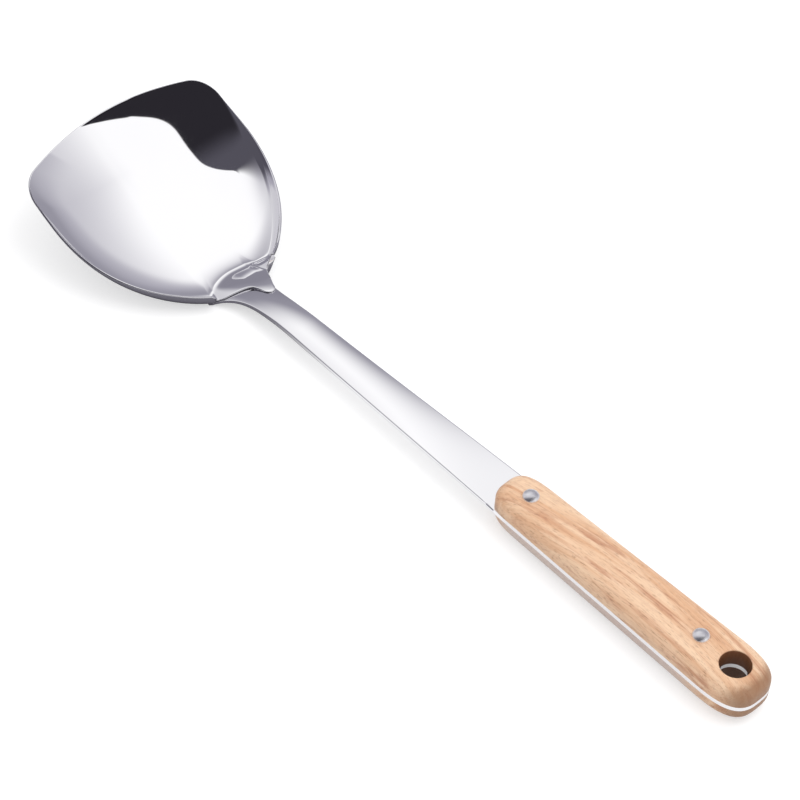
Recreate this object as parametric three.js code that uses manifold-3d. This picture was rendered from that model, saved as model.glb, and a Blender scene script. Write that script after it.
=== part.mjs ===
import * as THREE from 'three';
import { mergeVertices } from 'three/addons/utils/BufferGeometryUtils.js';
import Module from 'manifold-3d';

// A wok turner: a dished steel blade on a steel shank, whose full tang is riveted between two wooden scales.
// Millimetres. Stations are distances along X from the rear end of the tang, and the blade is at the far end.

// Stations that set the whole tool out
const overallLength = 373.5;
const scaleLength = 133.5;
const shankBendStation = 247;
const heelStation = 293.5;
const bladeCentreStation = 325;
const bladeWidestStation = 343;

// Handle scales
const upperScaleThickness = 8.3;
const lowerScaleThickness = 8.5;
const upperScaleEdgeRadius = 5.6;
const lowerScaleEdgeRadius = 6.8;
const scaleRearWidth = 26.8;
const scaleFrontWidth = 20.6;
const scaleRearEndDepth = 24;
const scaleFrontEndDepth = 18.4;
const rearEndSquareness = 2.97;
const frontEndSquareness = 3.26;
const outlineStepsPerEnd = 16;
const edgeSteps = 5;

// Hanging hole
const hangingHoleDiameter = 12.4;
const hangingHoleStation = 13.6;
const holeRimChamfer = 0.6;
const holeSides = 32;

// Tang and shank
const stripThickness = 2;
const shankNeckWidth = 13.6;
const shankNeckThickness = 2.4;
const shankNeckStation = 257;
const shankCrossRadius = 39;
const flareWidth = 31;
const flareStation = 288;
const flareSquareness = 4;
const padThickness = 1.3;
const padLength = 12;
const padEndWidth = 14;
const straightStationStep = 12;
const bentStationStep = 2;
const shankColumns = 8;

// Blade
const bladeWidth = 100;
const heelPitchDegrees = 12.4;
const frontPitchDegrees = 32.6;
const sheetThickness = 1.1;
const bladeFrontRadius = 139;
const bladeCornerRadius = 12.5;
const bladeBackRadius = 66;
const sideLift = 1.5;
const wallHeight = 6.8;
const wallBand = 3.2;
const wallFrontStation = 370;
const wallSteepestDegrees = 80;
const heelCamber = 0.72;
const lapClearance = 0.3;

// Tab of the blade that laps over the shank
const tabLength = 22;
const tabWidth = 28;
const tabFoldRadius = 1.5;

// Rivets
const frontRivetSetback = 13.5;
const rearRivetStation = 31;
const rivetHeadDiameter = 6.9;
const rivetHeadHeight = 1.7;
const rivetSocketDiameter = 4.2;
const rivetPinDiameter = 2.4;
const rivetPinEngagement = 9;
const rivetCapHeadHeight = 1.2;
const rivetFit = 0.15;
const rivetSides = 20;
const domeSteps = 5;

// Run of a cutting tool past the face that it leaves
const cutOverrun = 1;

const wasm = await Module();
wasm.setup();

const heelSlope = Math.tan(THREE.MathUtils.degToRad(heelPitchDegrees));
const frontSlope = Math.tan(THREE.MathUtils.degToRad(frontPitchDegrees));
const floorLength = overallLength - heelStation;
const frontRivetStation = scaleLength - frontRivetSetback;
const halfStrip = stripThickness / 2;
const restLevel = -halfStrip - lowerScaleThickness;
const padTopAtHeel = restLevel + heelCamber + padThickness;
const lapRise = lapClearance + sheetThickness;
const bladeInnerAtHeel = padTopAtHeel + lapRise;
const shankDrop = halfStrip - padTopAtHeel;
const bendRun = heelStation - shankBendStation;
const bendRadius = (bendRun ** 2 + shankDrop ** 2) / (2 * shankDrop);

const steel = { color: 0xd9d9de, roughness: 0.12, metalness: 1 };
const wood = { color: 0xdfb488, roughness: 0.55, metalness: 0 };

function smoothShare(value, from, to) {
  return THREE.MathUtils.smoothstep(value, from, to);
}

// Manifold and geometry conversions

function solidOf(geometry) {
  const bare = geometry.clone();
  bare.deleteAttribute('normal');
  bare.deleteAttribute('uv');
  const merged = mergeVertices(bare.index ? bare.toNonIndexed() : bare);
  const vertProperties = new Float32Array(merged.attributes.position.array);
  const triVerts = new Uint32Array(merged.index.array);
  return new wasm.Manifold(new wasm.Mesh({ numProp: 3, vertProperties, triVerts }));
}

function geometryOf(solid) {
  const mesh = solid.getMesh();
  const geometry = new THREE.BufferGeometry();
  geometry.setAttribute('position', new THREE.BufferAttribute(mesh.vertProperties, mesh.numProp));
  geometry.setIndex(new THREE.BufferAttribute(mesh.triVerts, 1));
  geometry.computeVertexNormals();
  return geometry;
}

function piece(name, geometry, look) {
  const mesh = new THREE.Mesh(geometry, new THREE.MeshStandardMaterial(look));
  mesh.name = name;
  return mesh;
}

function uprightCylinder(radius, low, high, station, sides) {
  const cylinder = new THREE.CylinderGeometry(radius, radius, high - low, sides);
  cylinder.rotateX(Math.PI / 2);
  cylinder.translate(station, 0, (low + high) / 2);
  return cylinder;
}

// A sheet with an upper and a lower side, point for point, joined round its rim

function sheetGeometry(upper, lower, triangles, rim) {
  const count = upper.length;
  const faces = triangles.map((t) => [...t]);
  triangles.forEach(([a, b, c]) => faces.push([a + count, c + count, b + count]));
  rim.forEach((a, i) => {
    const b = rim[(i + 1) % rim.length];
    faces.push([a, a + count, b + count]);
    faces.push([a, b + count, b]);
  });
  const geometry = new THREE.BufferGeometry().setFromPoints([...upper, ...lower]);
  geometry.setIndex(faces.flat());
  return geometry;
}

// Outline of the handle, drawn in by an inset: a tapered bar with a rounded end at the rear and the front

function scaleHalfWidth(station) {
  const share = station / scaleLength;
  return THREE.MathUtils.lerp(scaleRearWidth, scaleFrontWidth, share) / 2;
}

function endPoint(angle, tip, depth, squareness, inset) {
  const along = Math.sin(angle) ** (2 / squareness);
  const across = Math.cos(angle) ** (2 / squareness);
  const station = tip > 0 ? tip - depth + (depth - inset) * along : depth - (depth - inset) * along;
  return new THREE.Vector2(station, (scaleHalfWidth(station) - inset) * across);
}

function handleOutline(inset) {
  const half = [];
  for (let i = 0; i <= outlineStepsPerEnd; i++) {
    const angle = (1 - i / outlineStepsPerEnd) * Math.PI / 2;
    half.push(endPoint(angle, 0, scaleRearEndDepth, rearEndSquareness, inset));
  }
  for (let i = 0; i <= outlineStepsPerEnd; i++) {
    const angle = (i / outlineStepsPerEnd) * Math.PI / 2;
    half.push(endPoint(angle, scaleLength, scaleFrontEndDepth, frontEndSquareness, inset));
  }
  const mirrored = half.slice(1, -1).reverse().map((p) => new THREE.Vector2(p.x, -p.y));
  return [...half, ...mirrored].reverse();
}

// Scales: a flat inner face on the tang, and an outer face with rounded edges

function scaleBlank(innerLevel, outerLevel, edgeRadius) {
  const away = Math.sign(outerLevel - innerLevel);
  const rings = [{ inset: 0, level: innerLevel }];
  for (let i = 0; i <= edgeSteps; i++) {
    const angle = (i / edgeSteps) * Math.PI / 2;
    const inset = edgeRadius * (1 - Math.cos(angle));
    rings.push({ inset, level: outerLevel - away * edgeRadius * (1 - Math.sin(angle)) });
  }
  const points = [];
  rings.forEach((ring) => {
    handleOutline(ring.inset).forEach((p) => points.push(new THREE.Vector3(p.x, p.y, ring.level)));
  });
  const count = points.length / rings.length;
  const faces = [];
  for (let r = 0; r < rings.length - 1; r++) {
    for (let i = 0; i < count; i++) {
      const a = r * count + i;
      const b = r * count + (i + 1) % count;
      faces.push([a, b, b + count], [a, b + count, a + count]);
    }
  }
  const top = (rings.length - 1) * count;
  const topOutline = handleOutline(rings[rings.length - 1].inset);
  THREE.ShapeUtils.triangulateShape(handleOutline(0), []).forEach(([a, b, c]) => faces.push([a, c, b]));
  THREE.ShapeUtils.triangulateShape(topOutline, []).forEach((t) => faces.push(t.map((i) => i + top)));
  const geometry = new THREE.BufferGeometry().setFromPoints(points);
  geometry.setIndex(faces.map(([a, b, c]) => (away > 0 ? [a, b, c] : [a, c, b])).flat());
  return solidOf(geometry);
}

function hangingHoleCutter(innerLevel, outerLevel) {
  const radius = hangingHoleDiameter / 2;
  const away = Math.sign(outerLevel - innerLevel);
  const profile = [
    new THREE.Vector2(0, innerLevel - away * cutOverrun),
    new THREE.Vector2(radius, innerLevel - away * cutOverrun),
    new THREE.Vector2(radius, outerLevel - away * holeRimChamfer),
    new THREE.Vector2(radius + holeRimChamfer + cutOverrun, outerLevel + away * cutOverrun),
    new THREE.Vector2(0, outerLevel + away * cutOverrun),
  ];
  const cutter = new THREE.LatheGeometry(away > 0 ? profile : profile.reverse(), holeSides);
  cutter.rotateX(Math.PI / 2);
  cutter.translate(hangingHoleStation, 0, 0);
  return solidOf(cutter);
}

function cutScale(blank, innerLevel, outerLevel, counterbores) {
  const low = Math.min(innerLevel, outerLevel) - cutOverrun;
  const high = Math.max(innerLevel, outerLevel) + cutOverrun;
  const socketHole = rivetSocketDiameter / 2 + rivetFit;
  let cut = blank.subtract(hangingHoleCutter(innerLevel, outerLevel));
  [frontRivetStation, rearRivetStation].forEach((station) => {
    cut = cut.subtract(solidOf(uprightCylinder(socketHole, low, high, station, rivetSides)));
    if (counterbores) {
      const radius = rivetHeadDiameter / 2 + rivetFit;
      const bottom = outerLevel + rivetCapHeadHeight + rivetFit;
      cut = cut.subtract(solidOf(uprightCylinder(radius, low, bottom, station, rivetSides)));
    }
  });
  return geometryOf(cut);
}

// Blade outline, drawn from the middle of its front edge round to the tab on the left, then mirrored

const bladeHalfWidth = bladeWidth / 2;
const frontCentre = new THREE.Vector2(overallLength - bladeFrontRadius, 0);
const cornerAcross = bladeHalfWidth - bladeCornerRadius;
const cornerReach = bladeFrontRadius - bladeCornerRadius;
const cornerStation = frontCentre.x + Math.sqrt(cornerReach ** 2 - cornerAcross ** 2);
const cornerCentre = new THREE.Vector2(cornerStation, cornerAcross);
const backCentre = new THREE.Vector2(bladeWidestStation, bladeHalfWidth - bladeBackRadius);
const frontSteps = 7;
const cornerSteps = 6;
const backSteps = 14;
const tabSteps = 22;
const neckCornerShare = 0.4;
const neckCornerStation = heelStation - tabLength * neckCornerShare;

// Edge of the tab as shares of its length back from the heel and of half its width, left to right
const tabEdgeShares = [
  [0.33, 0.95], [0.43, 0.78], [0.51, 0.46], [0.58, 0.16], [0.66, -0.02], [0.8, -0.11],
  [0.93, -0.16], [1, -0.27], [0.98, -0.45], [0.82, -0.57], [0.6, -0.76], [0.45, -0.92], [0.35, -1.02],
];

function arcPoint(centre, radius, angle) {
  return new THREE.Vector2(centre.x + radius * Math.cos(angle), centre.y + radius * Math.sin(angle));
}

function bladeOutline() {
  const left = [];
  const cornerStart = Math.atan2(cornerCentre.y, cornerCentre.x - frontCentre.x);
  for (let i = 0; i < frontSteps; i++) {
    left.push(arcPoint(frontCentre, bladeFrontRadius, (i / frontSteps) * cornerStart));
  }
  for (let i = 0; i <= cornerSteps; i++) {
    const angle = THREE.MathUtils.lerp(cornerStart, Math.PI / 2, i / cornerSteps);
    left.push(arcPoint(cornerCentre, bladeCornerRadius, angle));
  }
  const backEnd = Math.PI - Math.acos((backCentre.x - neckCornerStation) / bladeBackRadius);
  for (let i = 0; i <= backSteps; i++) {
    const angle = THREE.MathUtils.lerp(Math.PI / 2, backEnd, i / backSteps);
    left.push(arcPoint(backCentre, bladeBackRadius, angle));
  }
  const tabCorners = tabEdgeShares.map(([back, across]) => new THREE.Vector3(
    heelStation - back * tabLength,
    across * tabWidth / 2,
    0,
  ));
  const tabEdge = new THREE.CatmullRomCurve3(tabCorners, false, 'centripetal');
  const tab = tabEdge.getSpacedPoints(tabSteps).map((p) => new THREE.Vector2(p.x, p.y));
  const right = left.slice(1).reverse().map((p) => new THREE.Vector2(p.x, -p.y));
  return [...left, ...tab, ...right];
}

const outline = bladeOutline();
const outlineReaches = outline.map((p) => Math.hypot(p.x - bladeCentreStation, p.y));

// Height of the blade's inner face

function floorHeight(station) {
  const past = station - heelStation;
  return bladeInnerAtHeel + heelSlope * past + (frontSlope - heelSlope) * past ** 2 / (2 * floorLength);
}

function bowlHeight(station, across) {
  return floorHeight(station) + sideLift * (across / bladeHalfWidth) ** 2;
}

function shankTop(station, across) {
  const past = Math.max(0, station - shankBendStation);
  const drop = bendRadius - Math.sqrt(Math.max(0, bendRadius ** 2 - past ** 2));
  const crown = smoothShare(station, scaleLength, shankBendStation) / shankCrossRadius;
  return halfStrip - drop - crown * across ** 2 / 2;
}

function foldedTop(bowl, lap) {
  const difference = bowl - lap;
  return (bowl + lap + Math.sqrt(difference ** 2 + (tabFoldRadius / 2) ** 2)) / 2;
}

const neckWallStartShare = 0.3;
const neckWallEndShare = 0.85;

function rimLift(point) {
  const rise = wallHeight * Math.max(0, wallFrontStation - point.x) / (wallFrontStation - heelStation);
  const neck = smoothShare(Math.abs(point.y) / tabWidth, neckWallStartShare, neckWallEndShare);
  return Math.min(rise, wallHeight) * neck;
}

const floorRingShares = [0.25, 0.5, 0.75, 1];
const wallRingShares = [0.3, 0.55, 0.75, 0.9, 1];
const foldSearchSteps = 24;

function bladePoint(index, share) {
  const edge = outline[index];
  const station = THREE.MathUtils.lerp(bladeCentreStation, edge.x, share);
  const across = edge.y * share;
  const steep = THREE.MathUtils.degToRad(wallSteepestDegrees);
  const inward = (1 - share) * outlineReaches[index] / wallBand;
  const onWall = Math.max(0, 1 - inward) * Math.sin(steep);
  const lift = rimLift(edge) * (1 - Math.sqrt(1 - onWall ** 2)) / (1 - Math.cos(steep));
  const bowl = bowlHeight(station, across);
  const lapped = foldedTop(bowl, shankTop(station, across) + lapRise);
  return new THREE.Vector3(station, across, lapped + lift);
}

function foldShare(index) {
  const edge = outline[index];
  let near = 0;
  let far = 1;
  for (let i = 0; i < foldSearchSteps; i++) {
    const share = (near + far) / 2;
    const station = THREE.MathUtils.lerp(bladeCentreStation, edge.x, share);
    const across = edge.y * share;
    if (bowlHeight(station, across) > shankTop(station, across) + lapRise) near = share;
    else far = share;
  }
  return near;
}

function ringShares(index) {
  const knee = Math.min(1 - wallBand / outlineReaches[index], foldShare(index));
  const inner = floorRingShares.map((s) => s * knee);
  const outer = wallRingShares.map((s) => knee + (1 - knee) * s);
  return [...inner, ...outer];
}

function bladeGeometry() {
  const rays = outline.length;
  const rings = ringShares(0).length;
  const points = [bladePoint(0, 0)];
  for (let r = 0; r < rings; r++) {
    for (let i = 0; i < rays; i++) points.push(bladePoint(i, ringShares(i)[r]));
  }
  const triangles = [];
  for (let i = 0; i < rays; i++) {
    const next = (i + 1) % rays;
    triangles.push([0, 1 + i, 1 + next]);
    for (let r = 0; r < rings - 1; r++) {
      const a = 1 + r * rays + i;
      const b = 1 + r * rays + next;
      triangles.push([a, a + rays, b + rays], [a, b + rays, b]);
    }
  }
  const at = (r, i) => points[r < 0 ? 0 : 1 + Math.min(r, rings - 1) * rays + (i + rays) % rays];
  const lower = points.map((point, index) => {
    const r = Math.floor((index - 1) / rays);
    const i = (index - 1) % rays;
    const outward = index > 0 ? at(r + 1, i).clone().sub(at(r - 1, i)) : at(0, 0).clone().sub(point);
    const round = index > 0 ? at(r, i + 1).clone().sub(at(r, i - 1)) : new THREE.Vector3(0, 1, 0);
    return point.clone().addScaledVector(outward.cross(round).normalize(), -sheetThickness);
  });
  const rim = outline.map((_, i) => 1 + (rings - 1) * rays + i);
  return sheetGeometry(points, lower, triangles, rim);
}

// Shank: a strip that tapers to the neck, bends down, flares under the tab and ends in a pad under the bowl

function shankHalfWidth(station) {
  const padEnd = heelStation + padLength;
  if (station > flareStation) {
    const share = (station - flareStation) / (padEnd - flareStation);
    return THREE.MathUtils.lerp(flareWidth / 2, padEndWidth / 2, smoothShare(share, 0, 1));
  }
  if (station > shankNeckStation) {
    const share = (station - shankNeckStation) / (flareStation - shankNeckStation);
    return THREE.MathUtils.lerp(shankNeckWidth / 2, flareWidth / 2, share ** flareSquareness);
  }
  const share = (station - scaleLength) / (shankNeckStation - scaleLength);
  return THREE.MathUtils.lerp(scaleFrontWidth / 2, shankNeckWidth / 2, share);
}

function shankThickness(station) {
  const toNeck = smoothShare(station, scaleLength, shankNeckStation);
  const toFlare = smoothShare(station, shankNeckStation, flareStation);
  const rear = THREE.MathUtils.lerp(stripThickness, shankNeckThickness, toNeck);
  return THREE.MathUtils.lerp(rear, padThickness, toFlare);
}

function shankUpperPoint(station, across) {
  const underBowl = bowlHeight(station, across) - lapRise;
  const top = shankTop(station, across);
  const height = station > shankBendStation ? Math.max(top, underBowl) : top;
  return new THREE.Vector3(station, across, height);
}

function steppedStations(from, to, step) {
  const steps = Math.round((to - from) / step);
  return [...Array(steps).keys()].map((i) => THREE.MathUtils.lerp(from, to, i / steps));
}

function shankStations() {
  const padEnd = heelStation + padLength;
  return [
    ...steppedStations(scaleLength - scaleFrontEndDepth, scaleLength, straightStationStep),
    ...steppedStations(scaleLength, shankBendStation, straightStationStep),
    ...steppedStations(shankBendStation, padEnd, bentStationStep),
    padEnd,
  ];
}

function shankGeometry() {
  const stations = shankStations();
  const columns = shankColumns + 1;
  const points = [];
  stations.forEach((station) => {
    const half = station < scaleLength ? scaleHalfWidth(station) : shankHalfWidth(station);
    for (let c = 0; c < columns; c++) {
      points.push(shankUpperPoint(station, THREE.MathUtils.lerp(-half, half, c / shankColumns)));
    }
  });
  const triangles = [];
  for (let s = 0; s < stations.length - 1; s++) {
    for (let c = 0; c < shankColumns; c++) {
      const a = s * columns + c;
      triangles.push([a, a + columns, a + columns + 1], [a, a + columns + 1, a + 1]);
    }
  }
  const rows = stations.map((_, s) => s);
  const right = rows.map((s) => s * columns);
  const left = rows.map((s) => s * columns + shankColumns).reverse();
  const inner = [...Array(shankColumns - 1).keys()].map((c) => c + 1);
  const far = inner.map((c) => (stations.length - 1) * columns + c);
  const near = [...inner].reverse();
  const rim = [...right, ...far, ...left, ...near];
  const lower = points.map((p) => new THREE.Vector3(p.x, p.y, p.z - shankThickness(p.x)));
  return sheetGeometry(points, lower, triangles, rim);
}

function tangGeometry() {
  const shape = new THREE.Shape(handleOutline(0));
  const tang = new THREE.ExtrudeGeometry(shape, { depth: stripThickness, bevelEnabled: false });
  tang.translate(0, 0, -halfStrip);
  return tang;
}

function shank() {
  let solid = solidOf(tangGeometry()).add(solidOf(shankGeometry()));
  const low = -halfStrip - cutOverrun;
  const high = halfStrip + cutOverrun;
  const socketHole = rivetSocketDiameter / 2 + rivetFit;
  const holes = [
    [hangingHoleStation, hangingHoleDiameter / 2, holeSides],
    [frontRivetStation, socketHole, rivetSides],
    [rearRivetStation, socketHole, rivetSides],
  ];
  holes.forEach(([station, radius, sides]) => {
    solid = solid.subtract(solidOf(uprightCylinder(radius, low, high, station, sides)));
  });
  return piece('shank', geometryOf(solid), steel);
}

// Rivets: a post with a domed head and a solid pin, driven into a hollow cap from the other side

const upperFace = halfStrip + upperScaleThickness;
const lowerFace = restLevel;

function rivetPost(name, station) {
  const head = rivetHeadDiameter / 2;
  const profile = [new THREE.Vector2(0, upperFace - rivetPinEngagement)];
  profile.push(new THREE.Vector2(rivetPinDiameter / 2, upperFace - rivetPinEngagement));
  profile.push(new THREE.Vector2(rivetPinDiameter / 2, upperFace));
  profile.push(new THREE.Vector2(head, upperFace));
  for (let i = 1; i < domeSteps; i++) {
    const angle = (i / domeSteps) * Math.PI / 2;
    profile.push(new THREE.Vector2(head * Math.cos(angle), upperFace + rivetHeadHeight * Math.sin(angle)));
  }
  profile.push(new THREE.Vector2(0, upperFace + rivetHeadHeight));
  const geometry = new THREE.LatheGeometry(profile, rivetSides);
  geometry.rotateX(Math.PI / 2);
  geometry.translate(station, 0, 0);
  return piece(name, geometryOf(solidOf(geometry)), steel);
}

function rivetCap(name, station) {
  const head = rivetHeadDiameter / 2;
  const bore = rivetPinDiameter / 2 + rivetFit;
  const socket = rivetSocketDiameter / 2;
  const boreBottom = upperFace - rivetPinEngagement - rivetFit;
  const socketTop = upperFace - 2 * rivetFit;
  const profile = [
    new THREE.Vector2(0, lowerFace),
    new THREE.Vector2(head, lowerFace),
    new THREE.Vector2(head, lowerFace + rivetCapHeadHeight),
    new THREE.Vector2(socket, lowerFace + rivetCapHeadHeight),
    new THREE.Vector2(socket, socketTop),
    new THREE.Vector2(bore, socketTop),
    new THREE.Vector2(bore, boreBottom),
    new THREE.Vector2(0, boreBottom),
  ];
  const geometry = new THREE.LatheGeometry(profile, rivetSides);
  geometry.rotateX(Math.PI / 2);
  geometry.translate(station, 0, 0);
  return piece(name, geometryOf(solidOf(geometry)), steel);
}

// Assembly

const upperBlank = scaleBlank(halfStrip, upperFace, upperScaleEdgeRadius);
const lowerBlank = scaleBlank(-halfStrip, lowerFace, lowerScaleEdgeRadius);
const turner = new THREE.Group();
turner.add(piece('blade', bladeGeometry(), steel));
turner.add(shank());
turner.add(piece('upper_scale', cutScale(upperBlank, halfStrip, upperFace, false), wood));
turner.add(piece('lower_scale', cutScale(lowerBlank, -halfStrip, lowerFace, true), wood));
turner.add(rivetPost('front_rivet_post', frontRivetStation));
turner.add(rivetCap('front_rivet_cap', frontRivetStation));
turner.add(rivetPost('rear_rivet_post', rearRivetStation));
turner.add(rivetCap('rear_rivet_cap', rearRivetStation));

// The origin is under the middle of the tool, on the surface that it lies on
const extent = new THREE.Box3().setFromObject(turner);
const middle = extent.getCenter(new THREE.Vector3());
turner.position.set(-middle.x, -middle.y, -extent.min.z);

export default turner;
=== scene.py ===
import math

import bmesh
import bpy
from mathutils import Matrix, Vector


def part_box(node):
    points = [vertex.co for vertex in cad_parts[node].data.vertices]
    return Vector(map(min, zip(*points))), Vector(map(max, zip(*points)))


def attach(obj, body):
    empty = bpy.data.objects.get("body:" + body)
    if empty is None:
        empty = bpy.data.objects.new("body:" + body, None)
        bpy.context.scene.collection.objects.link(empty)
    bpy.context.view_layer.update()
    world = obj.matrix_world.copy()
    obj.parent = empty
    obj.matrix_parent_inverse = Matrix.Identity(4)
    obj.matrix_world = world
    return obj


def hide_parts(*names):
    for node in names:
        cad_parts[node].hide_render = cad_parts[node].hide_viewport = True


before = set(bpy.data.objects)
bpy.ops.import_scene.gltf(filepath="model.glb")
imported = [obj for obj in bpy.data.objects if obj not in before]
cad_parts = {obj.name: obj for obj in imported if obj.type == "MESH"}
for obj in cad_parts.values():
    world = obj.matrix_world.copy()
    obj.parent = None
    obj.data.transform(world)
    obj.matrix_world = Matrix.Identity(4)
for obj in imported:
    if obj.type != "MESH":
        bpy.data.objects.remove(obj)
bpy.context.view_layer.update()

# Lengths in the dictionaries are millimetres. Stations run along the tool from the rear end of the tang.
mm = 0.001
tool = {
    "overallLength": 373.5,
    "bendStation": 247,  # where the shank starts to dip towards the blade
    "heelStation": 293.5,
    "strip": 2,  # thickness of the tang
    "crossRadius": 39,  # crown across the shank
    "lap": 1.4,  # from the shank's top to the inner face of the blade over it
    "padThickness": 1.3,
    "holeStation": 13.6,
    "holeDiameter": 12.4,
    "overrun": 1,  # of a cutter past the face that it cuts
    "mergeDistance": 0.001,
}
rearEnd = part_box("shank")[0].x
scaleLength = (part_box("upper_scale")[1].x - rearEnd) / mm
halfStrip = tool["strip"] / 2
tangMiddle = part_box("upper_scale")[0].z - halfStrip * mm
upperFace = (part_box("upper_scale")[1].z - tangMiddle) / mm
lowerFace = (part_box("lower_scale")[0].z - tangMiddle) / mm


def place(station, across, height):
    return Vector((rearEnd + station * mm, across * mm, tangMiddle + height * mm))


def stationOf(x):
    return (x - rearEnd) / mm


def blend(low, high, share):
    return low + (high - low) * share


def smoothShare(value, low, high):
    share = min(1, max(0, (value - low) / (high - low)))
    return share * share * (3 - 2 * share)


# Shader expressions


class Wire:
    # One output socket, or a plain number, of a node tree
    def __init__(self, shader, value):
        self.shader = shader
        self.value = value

    def math(self, operation, *others):
        made = self.shader.add("ShaderNodeMath", {"operation": operation}, {})
        for socket, value in zip(made.inputs, (self, *others)):
            self.shader.join(socket, value)
        return Wire(self.shader, made.outputs[0])

    def __add__(self, other):
        return self.math("ADD", other)

    def __radd__(self, other):
        return self.math("ADD", other)

    def __sub__(self, other):
        return self.math("SUBTRACT", other)

    def __rsub__(self, other):
        return Wire(self.shader, other).math("SUBTRACT", self)

    def __mul__(self, other):
        return self.math("MULTIPLY", other)

    def __rmul__(self, other):
        return self.math("MULTIPLY", other)

    def __truediv__(self, other):
        return self.math("DIVIDE", other)

    def __rtruediv__(self, other):
        return Wire(self.shader, other).math("DIVIDE", self)

    def __pow__(self, other):
        return self.math("POWER", other)

    def atLeast(self, low):
        return self.math("MAXIMUM", low)

    def atMost(self, high):
        return self.math("MINIMUM", high)

    def smooth(self, low, high):  # 0 at low and 1 at high, with a soft step between
        settings = {"interpolation_type": "SMOOTHSTEP"}
        sockets = {"Value": self, "From Min": low, "From Max": high}
        return self.shader.wire("ShaderNodeMapRange", settings, sockets, "Result")


class Shader:
    def __init__(self, owner):
        owner.use_nodes = True
        self.tree = owner.node_tree
        self.tree.nodes.clear()

    def join(self, socket, value):
        if isinstance(value, Wire):
            value = value.value
        if isinstance(value, bpy.types.NodeSocket):
            self.tree.links.new(value, socket)
        elif socket.type == "RGBA" and len(value) == 3:
            socket.default_value = (*value, 1)
        else:
            socket.default_value = value

    def add(self, kind, settings, sockets):
        made = self.tree.nodes.new(kind)
        for name, value in settings.items():
            setattr(made, name, value)
        for name, value in sockets.items():
            found = [s for s in made.inputs if name in (s.identifier, s.name)]
            self.join(found[0], value)
        return made

    def wire(self, kind, settings, sockets, output):
        made = self.add(kind, settings, sockets)
        found = [s for s in made.outputs if output in (s.identifier, s.name)]
        return Wire(self, found[0])

    def mix(self, factor, first, second):
        sockets = {"Factor_Float": factor, "A_Color": first, "B_Color": second}
        return self.wire("ShaderNodeMix", {"data_type": "RGBA"}, sockets, "Result_Color")

    def noise(self, vector, scale, detail=2, roughness=0.5, distortion=0):
        sockets = {
            "Vector": vector,
            "Scale": scale,
            "Detail": detail,
            "Roughness": roughness,
            "Distortion": distortion,
        }
        return self.wire("ShaderNodeTexNoise", {}, sockets, "Fac")

    def mapped(self, vector, scale, shift=(0, 0, 0)):
        sockets = {"Vector": vector, "Scale": scale, "Location": shift}
        return self.wire("ShaderNodeMapping", {}, sockets, "Vector")

    def parted(self, vector):
        made = self.add("ShaderNodeSeparateXYZ", {}, {"Vector": vector})
        return [Wire(self, socket) for socket in made.outputs]

    def rayIs(self, kind):
        return self.wire("ShaderNodeLightPath", {}, {}, "Is " + kind + " Ray")


def newMaterial(name):
    material = bpy.data.materials.new(name)
    return material, Shader(material)


def objectPlace(shader):
    return shader.wire("ShaderNodeTexCoord", {}, {}, "Object")


# Polished stainless steel, with a faint haze from the buffing wheel

steel = {
    "colour": (0.93, 0.925, 0.945),
    "roughness": 0.006,
    "hazeRoughness": 0.008,
    "hazeScale": 18,
    "hazeDetail": 3,
    "hazeRange": (0.4, 0.75),
    "hazeShade": 0.93,  # of the colour, where the haze is full
    "hazeShare": 0.25,
    "hairlineScale": (30, 900, 900),  # per metre
    "hairlineNoise": (3, 0.6),  # detail and roughness
    "hairlineHeight": 0.00002,
}


def steelMaterial(name, settings):
    material, shader = newMaterial(name)
    spot = objectPlace(shader)
    haze = shader.noise(spot, settings["hazeScale"], settings["hazeDetail"])
    haze = haze.smooth(*settings["hazeRange"])
    stretched = shader.mapped(spot, settings["hairlineScale"])
    hairlines = shader.noise(stretched, 1, *settings["hairlineNoise"])
    bump = shader.wire(
        "ShaderNodeBump",
        {},
        {"Height": hairlines, "Distance": settings["hairlineHeight"] * mm, "Strength": 1},
        "Normal",
    )
    hazed = tuple(settings["hazeShade"] * channel for channel in settings["colour"])
    tint = shader.mix(haze * settings["hazeShare"], settings["colour"], hazed)
    surface = shader.wire(
        "ShaderNodeBsdfPrincipled",
        {},
        {
            "Base Color": tint,
            "Metallic": 1,
            "Roughness": settings["roughness"] + haze * settings["hazeRoughness"],
            "Normal": bump,
        },
        "BSDF",
    )
    shader.add("ShaderNodeOutputMaterial", {}, {"Surface": surface})
    return material


# Pale hardwood, sanded and lightly oiled

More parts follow.
